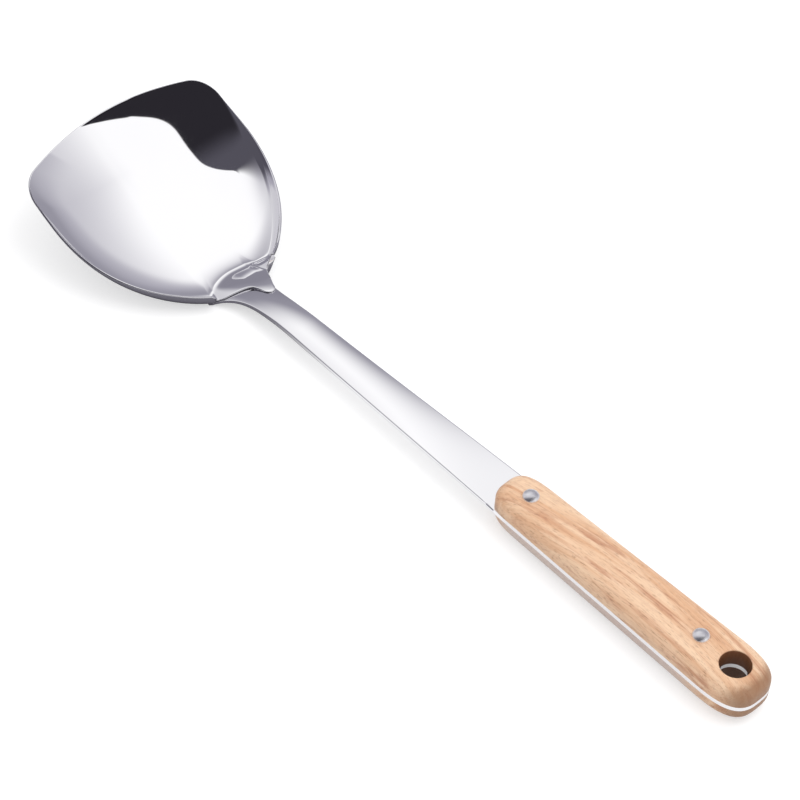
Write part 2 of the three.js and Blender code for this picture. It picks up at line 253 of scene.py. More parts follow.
wood = {
    "pale": (0.87, 0.61, 0.41),
    "tan": (0.74, 0.44, 0.26),
    "russet": (0.50, 0.22, 0.12),
    "pore": (0.27, 0.12, 0.07),
    "rearDark": (0.30, 0.15, 0.075),
    # dark brown of the painted shade on the wall of the hanging hole
    "hollow": (0.22, 0.09, 0.04),
    # pale greyish tint of the painted sheen
    "paintedSheen": (0.62, 0.54, 0.52),
    "grainRadius": 324.675,  # the grain bows about its middle along the handle
    "grainMiddle": 56.046,
    "shift": (0, 0, 0),  # of the whole figure
    # Each layer of the figure: scale per metre, then detail, roughness and distortion
    "bands": ((10, 210, 120), (3, 0.55, 0.8)),
    "flames": ((22, 330, 200), (4, 0.6, 1.1)),
    "fibres": ((60, 3400, 2200), (3, 0.6, 0)),
    "pores": ((300, 4000, 2500), (2, 0.5, 0)),
    "bandRange": (0.36, 0.66),
    "flameRange": (0.50, 0.72),
    "flameShare": 0.8,
    "fibreRange": (0.45, 0.75),
    "fibreShare": 0.35,
    "poreRange": (0.58, 0.68),
    "poreShare": 0.5,
    # Painted sheen: a pale greyish tint between the two ends, rising from the rear and from the front
    "paintedSheenShare": 0,
    "paintedSheenRear": (12, 37),
    "paintedSheenFront": (132, 117),
    # Darker brown at the rear end, below the face of the scale
    "rearDarkStations": (13, 2),
    "rearDarkDepth": (1, 4.5),
    "rearDarkSlant": 0.3,
    "rearDarkShare": 0.85,
    # Painted shade inside the hole: how far past its radius it fades, and from which depth
    "holeReach": (0.5, 0.1),
    "holeDepth": (0.1, 0.6),
    "roughness": 0.4,
    "poreRoughness": 0.2,
    "poreDepth": 0.04,
    "fibreDepthShare": 0.3,
}


def figureLayer(shader, grain, settings, layer):
    scale, noise = settings[layer]
    return shader.noise(shader.mapped(grain, scale, settings["shift"]), 1, *noise)


def woodMaterial(name, settings, faceHeight):
    material, shader = newMaterial(name)
    x, y, z = shader.parted(objectPlace(shader))
    station, across, below = stationOf(x), y / mm, (z - faceHeight).math("ABSOLUTE") / mm
    bowed = across - (station - settings["grainMiddle"]) ** 2 / (2 * settings["grainRadius"])
    grain = shader.wire("ShaderNodeCombineXYZ", {}, {"X": x, "Y": bowed * mm, "Z": z}, "Vector")
    bands = figureLayer(shader, grain, settings, "bands")
    flames = figureLayer(shader, grain, settings, "flames")
    fibres = figureLayer(shader, grain, settings, "fibres")
    pores = figureLayer(shader, grain, settings, "pores").smooth(*settings["poreRange"])
    flameShare = flames.smooth(*settings["flameRange"]) * settings["flameShare"]
    fibreShare = fibres.smooth(*settings["fibreRange"]) * settings["fibreShare"]
    body = shader.mix(bands.smooth(*settings["bandRange"]), settings["pale"], settings["tan"])
    body = shader.mix(flameShare, body, settings["russet"])
    body = shader.mix(fibreShare, body, settings["russet"])
    body = shader.mix(pores * settings["poreShare"], body, settings["pore"])
    # Painted sheen: the body turns pale greyish along the middle of the scale
    paintedSheenMask = station.smooth(*settings["paintedSheenRear"]) * station.smooth(*settings["paintedSheenFront"])
    body = shader.mix(paintedSheenMask * settings["paintedSheenShare"], body, settings["paintedSheen"])
    # Darker brown towards the rear end, growing with depth below the face of the scale
    slanted = below + (settings["rearDarkStations"][0] - station) * settings["rearDarkSlant"]
    rearDark = station.smooth(*settings["rearDarkStations"]) * slanted.smooth(*settings["rearDarkDepth"])
    body = shader.mix(rearDark * settings["rearDarkShare"], body, settings["rearDark"])
    # Painted shade: the wall of the hanging hole is darkened from just below the face inwards
    fromMiddle = ((station - tool["holeStation"]) ** 2 + across * across).math("SQRT")
    pastHole = fromMiddle - tool["holeDiameter"] / 2
    inHole = pastHole.smooth(*settings["holeReach"]) * below.smooth(*settings["holeDepth"])
    body = shader.mix(inHole, body, settings["hollow"])
    depth = pores + fibres * settings["fibreDepthShare"]
    bump = shader.wire(
        "ShaderNodeBump",
        {"invert": True},
        {"Height": depth, "Distance": settings["poreDepth"] * mm, "Strength": 1},
        "Normal",
    )
    surface = shader.wire(
        "ShaderNodeBsdfPrincipled",
        {},
        {
            "Base Color": body,
            "Roughness": settings["roughness"] + pores * settings["poreRoughness"],
            "Normal": bump,
        },
        "BSDF",
    )
    shader.add("ShaderNodeOutputMaterial", {}, {"Surface": surface})
    return material


bladeSteel = steelMaterial("bladeSteel", steel)
shankSteel = steelMaterial("shankSteel", steel)
rivetSteel = steelMaterial("rivetSteel", {**steel, "roughness": 0.34})
# The lower scale takes the painted sheen, a pale greyish tint along its side, and a shifted figure
sheenedWood = {**wood, "paintedSheenShare": 0.75, "shift": (3.1, 7.7, 2.3)}
upperWood = woodMaterial("upperWood", wood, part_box("upper_scale")[1].z)
lowerWood = woodMaterial("lowerWood", sheenedWood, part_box("lower_scale")[0].z)
print("materials made")

# Making and finishing pieces


def makeObject(name, bm, material):
    mesh = bpy.data.meshes.new(name)
    bm.to_mesh(mesh)
    bm.free()
    mesh.shade_smooth()
    made = bpy.data.objects.new(name, mesh)
    bpy.context.scene.collection.objects.link(made)
    made.data.materials.append(material)
    return made


def addModifier(piece, kind, settings):
    modifier = piece.modifiers.new(kind.title(), kind)
    for name, value in settings.items():
        setattr(modifier, name, value)


def applyModifiers(piece):
    evaluated = piece.evaluated_get(bpy.context.evaluated_depsgraph_get())
    mesh = bpy.data.meshes.new_from_object(evaluated)
    piece.modifiers.clear()
    piece.data = mesh


def carve(piece, cutters):
    for cutter in cutters:
        settings = {"operation": "DIFFERENCE", "solver": "MANIFOLD", "object": cutter}
        addModifier(piece, "BOOLEAN", settings)
    applyModifiers(piece)
    for cutter in cutters:
        bpy.data.objects.remove(cutter)


def standFor(piece, node):
    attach(piece, "root")
    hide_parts(node)


def finishMesh(bm, distance):
    bmesh.ops.remove_doubles(bm, verts=bm.verts[:], dist=distance * mm)
    bmesh.ops.recalc_face_normals(bm, faces=bm.faces[:])


def sharpen(piece, settings):
    piece.data.set_sharp_from_angle(angle=settings["sharpAngle"])


def spun(bm, profile, station, sides):
    # A profile of (radius, height) points turned about an upright axis, closed at the axis
    points = [bm.verts.new(place(station + radius, 0, height)) for radius, height in profile]
    edges = [bm.edges.new(pair) for pair in zip(points, points[1:])]
    bmesh.ops.spin(
        bm,
        geom=points + edges,
        cent=place(station, 0, 0),
        axis=(0, 0, 1),
        angle=math.tau,
        steps=sides,
        use_merge=True,
    )
    finishMesh(bm, tool["mergeDistance"])


# Handle outline: a tapered bar with a rounded end at the rear and the front

handle = {
    "rearWidth": 26.8,
    "frontWidth": 20.6,
    "rearDepth": 24,
    "frontDepth": 18.4,
    "rearSquareness": 2.97,
    "frontSquareness": 3.26,
    "quarterSteps": 24,
    "edgeSteps": 9,
    "upperEdgeRadius": 5.6,
    "lowerEdgeRadius": 6.8,
    "easedInset": 0.25,  # a narrow flat border that keeps the face's shading flat
    "holeRimRadius": 0.7,
    "holeRimSteps": 6,
    "holeSides": 72,
    "frontRivetStation": 120,
    "rearRivetStation": 31,
    "sharpAngle": math.radians(40),
}


def handleHalfWidth(station):
    return blend(handle["rearWidth"], handle["frontWidth"], station / scaleLength) / 2


def outlineSpot(index, inset):
    # The outline has four quarters: front left, rear left, rear right and front right
    quarter, step = divmod(index, handle["quarterSteps"])
    share = step / handle["quarterSteps"]
    atFront = quarter in (0, 3)
    towardsTip = share if quarter in (1, 3) else 1 - share
    angle = towardsTip * math.pi / 2
    depth = handle["frontDepth"] if atFront else handle["rearDepth"]
    squareness = handle["frontSquareness"] if atFront else handle["rearSquareness"]
    along = (depth - inset) * max(0, math.sin(angle)) ** (2 / squareness)
    station = scaleLength - depth + along if atFront else depth - along
    across = (handleHalfWidth(station) - inset) * max(0, math.cos(angle)) ** (2 / squareness)
    return station, across if quarter in (0, 1) else -across


def holeCutter(inner, outer):
    # A round bar whose top flares out, so that it leaves a rounded rim
    bm = bmesh.new()
    away = math.copysign(1, outer - inner)
    past = away * tool["overrun"]
    radius, rim, steps = tool["holeDiameter"] / 2, handle["holeRimRadius"], handle["holeRimSteps"]
    profile = [(0, inner - past), (radius, inner - past)]
    for step in range(steps + 1):
        angle = step / steps * math.pi / 2
        height = outer - away * rim * (1 - math.sin(angle))
        profile.append((radius + rim * (1 - math.cos(angle)), height))
    profile += [(radius + rim, outer + past), (0, outer + past)]
    spun(bm, profile, tool["holeStation"], handle["holeSides"])
    return makeObject("holeCutter", bm, upperWood)


def socketCutter(station, inner, outer, boreRadius, boreDepth):
    bm = bmesh.new()
    away = math.copysign(1, outer - inner)
    bottom, top = outer - away * boreDepth, outer + away * tool["overrun"]
    spun(bm, [(0, bottom), (boreRadius, bottom), (boreRadius, top), (0, top)], station, rivet["sides"])
    return makeObject("socketCutter", bm, upperWood)


def makeScale(name, inner, outer, edgeRadius, material):
    bm = bmesh.new()
    away = math.copysign(1, outer - inner)
    rings = [(0, inner)]
    for step in range(handle["edgeSteps"] + 1):
        angle = step / handle["edgeSteps"] * math.pi / 2
        height = outer - away * edgeRadius * (1 - math.sin(angle))
        rings.append((edgeRadius * (1 - math.cos(angle)), height))
    rings.append((edgeRadius + handle["easedInset"], outer))
    around, upwards = 4 * handle["quarterSteps"], len(rings) - 1
    bmesh.ops.create_grid(bm, x_segments=around, y_segments=upwards, size=1)
    for vert in bm.verts:
        index = round((vert.co.x + 1) / 2 * around) % around
        inset, height = rings[round((vert.co.y + 1) / 2 * upwards)]
        vert.co = place(*outlineSpot(index, inset), height)
    bmesh.ops.remove_doubles(bm, verts=bm.verts[:], dist=tool["mergeDistance"] * mm)
    bmesh.ops.holes_fill(bm, edges=[edge for edge in bm.edges if edge.is_boundary])
    bmesh.ops.recalc_face_normals(bm, faces=bm.faces[:])
    return makeObject(name, bm, material)


rivet = {
    "headDiameter": 6.9,
    "headHeight": 1.7,
    "capHeadHeight": 1.2,
    "fit": 0.15,
    "socketDiameter": 4.2,
    "pinDiameter": 2.4,
    "pinLength": 9,
    "sides": 56,
    "domeSteps": 12,
    "capEase": 0.2,
    "sharpAngle": math.radians(35),
}
rivetStations = {"front": handle["frontRivetStation"], "rear": handle["rearRivetStation"]}

upperScale = makeScale("upperScale", halfStrip, upperFace, handle["upperEdgeRadius"], upperWood)
lowerScale = makeScale("lowerScale", -halfStrip, lowerFace, handle["lowerEdgeRadius"], lowerWood)
socketRadius = rivet["socketDiameter"] / 2 + rivet["fit"]
headRadius = rivet["headDiameter"] / 2 + rivet["fit"]
upperCutters = [holeCutter(halfStrip, upperFace)]
lowerCutters = [holeCutter(-halfStrip, lowerFace)]
for station in rivetStations.values():
    through = upperFace - halfStrip + tool["overrun"]
    upperCutters.append(socketCutter(station, halfStrip, upperFace, socketRadius, through))
    through = -halfStrip - lowerFace + tool["overrun"]
    lowerCutters.append(socketCutter(station, -halfStrip, lowerFace, socketRadius, through))
    headDepth = rivet["capHeadHeight"] + rivet["fit"]
    lowerCutters.append(socketCutter(station, -halfStrip, lowerFace, headRadius, headDepth))
carve(upperScale, upperCutters)
carve(lowerScale, lowerCutters)
for piece in (upperScale, lowerScale):
    sharpen(piece, handle)
standFor(upperScale, "upper_scale")
standFor(lowerScale, "lower_scale")
print("scales made")

# Rivets: a post with a domed head and a solid pin, in a hollow cap from the other side


def makeRivetPost(name, station):
    bm = bmesh.new()
    radius, pin = rivet["headDiameter"] / 2, rivet["pinDiameter"] / 2
    profile = [(0, upperFace - rivet["pinLength"]), (pin, upperFace - rivet["pinLength"])]
    profile += [(pin, upperFace), (radius, upperFace)]
    for step in range(1, rivet["domeSteps"] + 1):
        angle = step / rivet["domeSteps"] * math.pi / 2
        profile.append((radius * math.cos(angle), upperFace + rivet["headHeight"] * math.sin(angle)))
    spun(bm, profile, station, rivet["sides"])
    return makeObject(name, bm, rivetSteel)


def makeRivetCap(name, station):
    bm = bmesh.new()
    radius, socket = rivet["headDiameter"] / 2, rivet["socketDiameter"] / 2
    bore = rivet["pinDiameter"] / 2 + rivet["fit"]
    headTop = lowerFace + rivet["capHeadHeight"]
    socketTop = upperFace - 2 * rivet["fit"]
    boreBottom = upperFace - rivet["pinLength"] - rivet["fit"]
    eased = rivet["capEase"]
    profile = [(0, lowerFace), (radius - eased, lowerFace), (radius, lowerFace + eased)]
    profile += [(radius, headTop), (socket, headTop), (socket, socketTop)]
    profile += [(bore, socketTop), (bore, boreBottom), (0, boreBottom)]
    spun(bm, profile, station, rivet["sides"])
    return makeObject(name, bm, rivetSteel)


for end, station in rivetStations.items():
    post = makeRivetPost(end + "RivetPost", station)
    cap = makeRivetCap(end + "RivetCap", station)
    for piece in (post, cap):
        sharpen(piece, rivet)
    standFor(post, end + "_rivet_post")
    standFor(cap, end + "_rivet_cap")
print("rivets made")

# Blade: the height of its inner face over the whole plan, then its outline

blade = {
    "centreStation": 325,
    "widestStation": 343,
    "width": 99.9,
    "frontRadius": 139,
    "cornerRadius": 12.5,
    "backRadius": 66,
    "heelPitch": math.radians(12.4),
    "frontPitch": math.radians(32.6),
    "sideLift": 1.5,
    "sheet": 1.1,
    "wallHeight": 6.8,
    "wallBand": 3.2,
    "filletHeight": 1.35,  # of the gentle rise before the wall
    "filletBand": 14,
    "wallFront": 370,
    "wallSteepest": math.radians(80),
    "heelCamber": 0.72,
    "tabLength": 22,
    "tabWidth": 28,
    "foldRadius": 2,
    "cornerFoldRadius": 0.5,
    "cornerFoldShares": (0.3, 0.5),  # of the tab's width, where the fold tightens
    "neckCorner": 8.8,  # from the heel back to the corner between wall and tab
    "neckWall": (12.5, 16.5),  # across, where the wall begins beside the tab and is full
    "arcSteps": (200, 100, 300),  # along the front, a corner and a side
    "tabCurveSteps": 20,
    "edgeSpacing": 0.8,  # between the rays of the mesh, along the edge
    "floorRings": 40,
    "floorCrowding": 1.6,  # of the rings towards the wall
    "wallRings": 22,
    "tabCrowding": 1.5,  # of the rings towards the crease
    "halvings": 20,  # when the place of the crease or the rim is looked for
    "rimSearchShare": 0.9,
    "probe": 0.1,  # step over which a direction is measured
    "probeShare": 0.05,
    "rimThickness": 0.9,
    "rimRadius": 0.3,
    "rimRadiusShare": 0.45,  # of the sheet's thickness, at most
    "rimSteps": 4,
    "rimTaper": 3,  # depth over which the rim thickens to the full sheet
    "mergeDistance": 0.0002,
    # Towards its lip the tab bends down to the shank, and it is less crowned on the right
    "lipTip": (272, -4),
    "lipLean": 0.75,
    "lipDrop": 0.8,
    "lipDropLimit": 1.5,
    "lipReach": 10,
    "lipBend": 2,
    "lipCrown": 0.9,
    "lipGap": 0.15,
    "lipBand": (4, 1),  # from the lip's edge, where the sheet starts to reach down and where it has
}
# Edge of the tab as shares of its length back from the heel and of half its width, left to right
tabEdgeShares = [
    (0.33, 0.95), (0.43, 0.78), (0.51, 0.46), (0.58, 0.16), (0.66, -0.02), (0.8, -0.11),
    (0.93, -0.16), (1, -0.27), (0.98, -0.45), (0.82, -0.57), (0.6, -0.76), (0.47, -0.87), (0.4, -0.97),
]
heel = tool["heelStation"]
padTop = lowerFace + blade["heelCamber"] + tool["padThickness"]
shankDrop = halfStrip - padTop
bendRun = heel - tool["bendStation"]
bendRadius = (bendRun**2 + shankDrop**2) / (2 * shankDrop)
floorLength = tool["overallLength"] - heel


def floorHeight(station):
    past = station - heel
    heelSlope, frontSlope = math.tan(blade["heelPitch"]), math.tan(blade["frontPitch"])
    curved = (frontSlope - heelSlope) * past**2 / (2 * floorLength)
    return padTop + tool["lap"] + heelSlope * past + curved


def bowlHeight(station, across):
    return floorHeight(station) + blade["sideLift"] * (2 * across / blade["width"]) ** 2


def shankTop(station, across):
    past = max(0, station - tool["bendStation"])
    drop = bendRadius - math.sqrt(max(0, bendRadius**2 - past**2))
    crown = smoothShare(station, scaleLength, tool["bendStation"]) / tool["crossRadius"]
    return halfStrip - drop - crown * across**2 / 2


def lapHeight(station, across):
    tipStation, tipAcross = blade["lipTip"]
    aside, bend = across - tipAcross, blade["lipBend"]
    line = tipStation + blade["lipLean"] * (aside + math.hypot(aside, bend)) / 2
    towardsLip = max(0, 1 - (station - line) / blade["lipReach"])
    drop = blade["lipDrop"] * min(blade["lipDropLimit"], towardsLip) ** 2
    crown = blade["lipCrown"] * max(0, bend - aside) ** 2 / (2 * tool["crossRadius"])
    return shankTop(station, across) + tool["lap"] - drop + crown


def foldedHeight(station, across):
    bowl = bowlHeight(station, across)
    lap = lapHeight(station, across)
    corner = smoothShare(abs(across) / blade["tabWidth"], *blade["cornerFoldShares"])
    radius = blend(blade["foldRadius"], blade["cornerFoldRadius"], corner)
    return (bowl + lap + math.hypot(bowl - lap, radius / 2)) / 2


def neckShare(across):
    return smoothShare(abs(across), *blade["neckWall"])


def rimLift(station, across):
    rise = blade["wallHeight"] * (blade["wallFront"] - station) / (blade["wallFront"] - heel)
    return min(blade["wallHeight"], max(0, rise)) * neckShare(across)


def arc(centre, radius, start, end, steps):
    angles = [blend(start, end, step / steps) for step in range(steps + 1)]
    return [(centre[0] + radius * math.cos(a), centre[1] + radius * math.sin(a)) for a in angles]


def curveThrough(points, steps):
    # A smooth curve through the points, whose neighbours are mirrored past both ends
    first = tuple(2 * a - b for a, b in zip(points[0], points[1]))
    last = tuple(2 * a - b for a, b in zip(points[-1], points[-2]))
    padded = [first, *points, last]
    made = [points[0]]
    for p0, p1, p2, p3 in zip(padded, padded[1:], padded[2:], padded[3:]):
        for step in range(1, steps + 1):
            t = step / steps
            made.append(tuple(
                b + 0.5 * t * (c - a + t * (2 * a - 5 * b + 4 * c - d + t * (3 * (b - c) + d - a)))
                for a, b, c, d in zip(p0, p1, p2, p3)
            ))
    return made


def spaced(points, spacing):
    # Points at equal distances along a line of points
    lengths = [math.dist(a, b) for a, b in zip(points, points[1:])]
    count = round(sum(lengths) / spacing)
    step = sum(lengths) / count
    made, travelled, wanted = [], 0, 0
    for start, end, length in zip(points, points[1:], lengths):
        while len(made) < count and wanted <= travelled + length:
            share = (wanted - travelled) / length
            made.append((blend(start[0], end[0], share), blend(start[1], end[1], share)))
            wanted += step
        travelled += length
    return made


def bladeOutline():
    half = blade["width"] / 2
    frontCentre = (tool["overallLength"] - blade["frontRadius"], 0)
    across = half - blade["cornerRadius"]
    reach = blade["frontRadius"] - blade["cornerRadius"]
    cornerCentre = (frontCentre[0] + math.sqrt(reach**2 - across**2), across)
    backCentre = (blade["widestStation"], half - blade["backRadius"])
    turn = math.atan2(across, cornerCentre[0] - frontCentre[0])
    neck = math.pi - math.acos((backCentre[0] - heel + blade["neckCorner"]) / blade["backRadius"])
    frontSteps, cornerSteps, sideSteps = blade["arcSteps"]
    left = arc(frontCentre, blade["frontRadius"], 0, turn, frontSteps)
    left += arc(cornerCentre, blade["cornerRadius"], turn, math.pi / 2, cornerSteps)[1:]
    left += arc(backCentre, blade["backRadius"], math.pi / 2, neck, sideSteps)[1:]
    left = spaced(left, blade["edgeSpacing"])
    length, half = blade["tabLength"], blade["tabWidth"] / 2
    corners = [(heel - back * length, side * half) for back, side in tabEdgeShares]
    tab = spaced(curveThrough(corners, blade["tabCurveSteps"]), blade["edgeSpacing"]) + corners[-1:]
    right = [(station, -across) for station, across in reversed(left[1:])]
    return left + tab + right


outline = bladeOutline()


def reachOf(edge):
    return math.hypot(edge[0] - blade["centreStation"], edge[1])


def planSpot(edge, share):
    return blend(blade["centreStation"], edge[0], share), edge[1] * share


def lastShareWhere(holds, near, far):
    # Halves the way between two shares until it has the last one at which the condition holds
    for _ in range(blade["halvings"]):
        share = (near + far) / 2
        if holds(share):
            near = share
        else:
            far = share
    return near


def foldReach(edge):
    # Share of the way from the blade's centre to an edge point at which the tab's crease lies
    def inBowl(share):
        return bowlHeight(*planSpot(edge, share)) > lapHeight(*planSpot(edge, share))

    return lastShareWhere(inBowl, 0, 1)


def lastShare(edge):
    # Share at which the inner face ends and the rounding of the rim begins
    def beforeRim(share):
        return (bladeSpot(edge, share) - bladeSpot(edge, 1)).length > blade["rimRadius"] * mm

    return lastShareWhere(beforeRim, blade["rimSearchShare"], 1)


def ringShares(edge):
    # Rings of the floor up to the knee, then rings up the wall or along the tab
    knee, last = min(1 - blade["wallBand"] / reachOf(edge), foldReach(edge)), lastShare(edge)
    floorRings, wallRings = blade["floorRings"], blade["wallRings"]
    wallSine = math.sin(blade["wallSteepest"])
    shares = []
    for ring in range(floorRings):
        shares.append(knee * (1 - (1 - ring / floorRings) ** blade["floorCrowding"]))
    for ring in range(wallRings + 1):
        climbed = ring / wallRings
        upWall = math.sin(blade["wallSteepest"] * climbed) / wallSine
        alongTab = climbed ** blade["tabCrowding"]
        shares.append(blend(knee, last, blend(alongTab, upWall, neckShare(edge[1]))))
    return shares


def bladeSpot(edge, share):
    station, across = planSpot(edge, share)
    inward = (1 - share) * reachOf(edge)
    rise = rimLift(*edge)
    filletRise = min(rise, blade["filletHeight"])
    filletLift = filletRise * max(0, 1 - inward / blade["filletBand"]) ** 3
    steepest = blade["wallSteepest"]
    upWall = max(0, 1 - inward / blade["wallBand"]) * math.sin(steepest)
    wallLift = (rise - filletRise) * (1 - math.sqrt(1 - upWall**2)) / (1 - math.cos(steepest))
    return place(station, across, foldedHeight(station, across) + filletLift + wallLift)


def bladeAxes(ray, share):
    # Directions at a spot of the inner face: outwards along it, and up out of it
    edge = outline[ray]
    step = blade["probe"] / reachOf(edge)
    outward = (bladeSpot(edge, min(1, share + step)) - bladeSpot(edge, share - step)).normalized()
    before, after = outline[ray - 1], outline[(ray + 1) % len(outline)]
    aside = max(share, blade["probeShare"])
    along = bladeSpot(after, aside) - bladeSpot(before, aside)
    return outward, outward.cross(along).normalized()


def tabShare(edge):
    return (1 - neckShare(edge[1])) * (edge[0] < heel)


def sheetDepth(edge, share, last):
    # The sheet thins towards its rim, and the tab's lip reaches down to the shank
    spot = bladeSpot(edge, share)
    inward = (spot - bladeSpot(edge, last)).length / mm
    towardsRim = max(0, 1 - inward / blade["rimTaper"])
    thinned = (blade["sheet"] - blade["rimThickness"]) * towardsRim**2
    station, across = planSpot(edge, share)
    shankSpot = place(station, across, shankTop(station, across))
    overShank = (spot.z - shankSpot.z) / mm - blade["lipGap"]
    lipStart, lipEnd = (last - inset / reachOf(edge) for inset in blade["lipBand"])
    onLip = tabShare(edge) * smoothShare(share, lipStart, lipEnd)
    return blend(blade["sheet"] - thinned, overShank, onLip)


def rayOfSpots(ray):
    # From the centre over the inner face, round the rim, and back over the outer face
    edge, shares = outline[ray], ringShares(outline[ray])
    spots = [bladeSpot(edge, share) for share in shares]
    axes = [bladeAxes(ray if share > 0 else 0, share) for share in shares]
    depths = [sheetDepth(edge, share, shares[-1]) for share in shares]
    sheet, steps = depths[-1], blade["rimSteps"]
    radius = min(blade["rimRadius"], sheet * blade["rimRadiusShare"])
    angles = [step / steps * math.pi / 2 for step in range(1, steps + 1)]
    rounding = [(radius * (1 - math.cos(angle)), radius * math.sin(angle)) for angle in angles]
    rounding += [(sheet - depth, reach) for depth, reach in reversed(rounding)]
    outward, upward = axes[-1]
    rim = [spots[-1] + (outward * reach - upward * depth) * mm for depth, reach in rounding]
    outer = [spot - up * depth * mm for spot, (_, up), depth in zip(spots, axes, depths)]
    return spots + rim + outer[::-1]


def makeBlade():
    bm = bmesh.new()
    rays = [rayOfSpots(ray) for ray in range(len(outline))]
    around, across = len(rays), len(rays[0]) - 1
    bmesh.ops.create_grid(bm, x_segments=around, y_segments=across, size=1)
    for vert in bm.verts:
        ray = round((vert.co.x + 1) / 2 * around) % around
        vert.co = rays[ray][round((vert.co.y + 1) / 2 * across)]
    finishMesh(bm, blade["mergeDistance"])
    return makeObject("bladeSheet", bm, bladeSteel)


bladeSheet = makeBlade()
standFor(bladeSheet, "blade")
print("blade made", len(bladeSheet.data.polygons))

# Shank: a tang with the handle's outline, then a strip that narrows, bends, flares and ends in a pad

shank = {
    "neckWidth": 13.6,
    "neckThickness": 2.4,
    "neckStation": 257,
    "flareWidth": 30.7,
    "flareStation": 288,
    "flareSquareness": 4,
    "padLength": 12,
    "padEndWidth": 14,
    "columns": 28,
    "rearRows": 20,
    "tangRows": 10,
    "barRows": 50,
    "bendRows": 64,
    "edgeRounding": 0.35,
    "roundingSteps": 3,
    "roundingProfile": 0.5,  # a round arc
    "roundedBend": 1,  # radians between two faces, from which their edge is rounded
    "roundedFrom": 2,  # behind the front end of the scales
    "sharpAngle": math.radians(50),
    "mergeDistance": 0.002,
}


def shankHalfWidth(station):
    padEnd = heel + shank["padLength"]
    if station < handle["rearDepth"]:
        along = (handle["rearDepth"] - station) / handle["rearDepth"]
        squareness = handle["rearSquareness"]
        return handleHalfWidth(station) * max(0, 1 - along**squareness) ** (1 / squareness)
    if station < scaleLength:
        return handleHalfWidth(station)
    neck, flare = shank["neckStation"], shank["flareStation"]
    if station < neck:
        share = (station - scaleLength) / (neck - scaleLength)
        return blend(handle["frontWidth"], shank["neckWidth"], share) / 2
    if station < flare:
        share = (station - neck) / (flare - neck)
        return blend(shank["neckWidth"], shank["flareWidth"], share ** shank["flareSquareness"]) / 2
    return blend(shank["flareWidth"], shank["padEndWidth"], smoothShare(station, flare, padEnd)) / 2


def shankThickness(station):
    neck, flare = shank["neckStation"], shank["flareStation"]
    rear = blend(tool["strip"], shank["neckThickness"], smoothShare(station, scaleLength, neck))
    return blend(rear, tool["padThickness"], smoothShare(station, neck, flare))


def shankUpper(station, across):
    top = shankTop(station, across)
    if station > tool["bendStation"]:
        top = max(top, bowlHeight(station, across) - tool["lap"])
    return top


def shankStations():
    depth, rows = handle["rearDepth"], shank["rearRows"]
    bend, padEnd = tool["bendStation"], heel + shank["padLength"]
    stations = [depth * (1 - math.cos(row / rows * math.pi / 2)) for row in range(rows)]
    spans = [(depth, scaleLength, "tangRows"), (scaleLength, bend, "barRows"), (bend, padEnd, "bendRows")]
    for start, end, name in spans:
        stations += [blend(start, end, row / shank[name]) for row in range(shank[name])]
    return stations + [padEnd]


def makeShank():
    bm = bmesh.new()
    stations, columns = shankStations(), shank["columns"]
    rows = len(stations) - 1
    bmesh.ops.create_grid(bm, x_segments=rows, y_segments=columns, size=1)
    for vert in bm.verts:
        station = stations[round((vert.co.x + 1) / 2 * rows)]
        across = vert.co.y * shankHalfWidth(station)
        vert.co = place(station, across, shankUpper(station, across))
    extruded = bmesh.ops.extrude_face_region(bm, geom=bm.faces[:])
    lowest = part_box("shank")[0].z
    for vert in [v for v in extruded["geom"] if isinstance(v, bmesh.types.BMVert)]:
        station = stationOf(vert.co.x)
        vert.co.z = max(vert.co.z - shankThickness(station) * mm, lowest)
    finishMesh(bm, shank["mergeDistance"])
    bare = place(scaleLength - shank["roundedFrom"], 0, 0).x
    sharp = [
        edge
        for edge in bm.edges
        if len(edge.link_faces) == 2
        and edge.calc_face_angle() > shank["roundedBend"]
        and min(vert.co.x for vert in edge.verts) > bare
    ]
    bmesh.ops.bevel(
        bm,
        geom=sharp,
        offset=shank["edgeRounding"] * mm,
        segments=shank["roundingSteps"],
        profile=shank["roundingProfile"],
        affect="EDGES",
        material=-1,
    )
    return makeObject("shankStrip", bm, shankSteel)


def tangCutter(station, radius):
    bm = bmesh.new()
    top = tool["strip"] + tool["overrun"]
    spun(bm, [(0, -top), (radius, -top), (radius, top), (0, top)], station, handle["holeSides"])
    return makeObject("tangCutter", bm, shankSteel)


shankStrip = makeShank()
tangCutters = [tangCutter(tool["holeStation"], tool["holeDiameter"] / 2)]
tangCutters += [tangCutter(station, socketRadius) for station in rivetStations.values()]
carve(shankStrip, tangCutters)
sharpen(shankStrip, shank)
standFor(shankStrip, "shank")
print("shank made", len(shankStrip.data.polygons))

# Studio: pale floor with a painted shadow under the blade that only the steel sees, soft sky with a dark
# card high on one side, and one soft lamp

studio = {
    "floorSize": 4000,
    "floorDrop": 0.2,
    "floorColour": (0.6, 0.6, 0.6),
    "floorGlow": 0.5,
    "floorGlowInSteel": 0.3,
    # Painted shadow: glossy rays see the floor dark and unlit under the blade
    "paintedShadowInSteel": (0.16, 0.155, 0.18),
    "paintedShadowStations": (217, 277),  # stations over which the painted shadow under the blade fades in, for glossy rays
    "white": (1, 1, 1),
    "plainLight": (0.93, 0.93, 0.94),
    "leastHeight": 0.02,
}


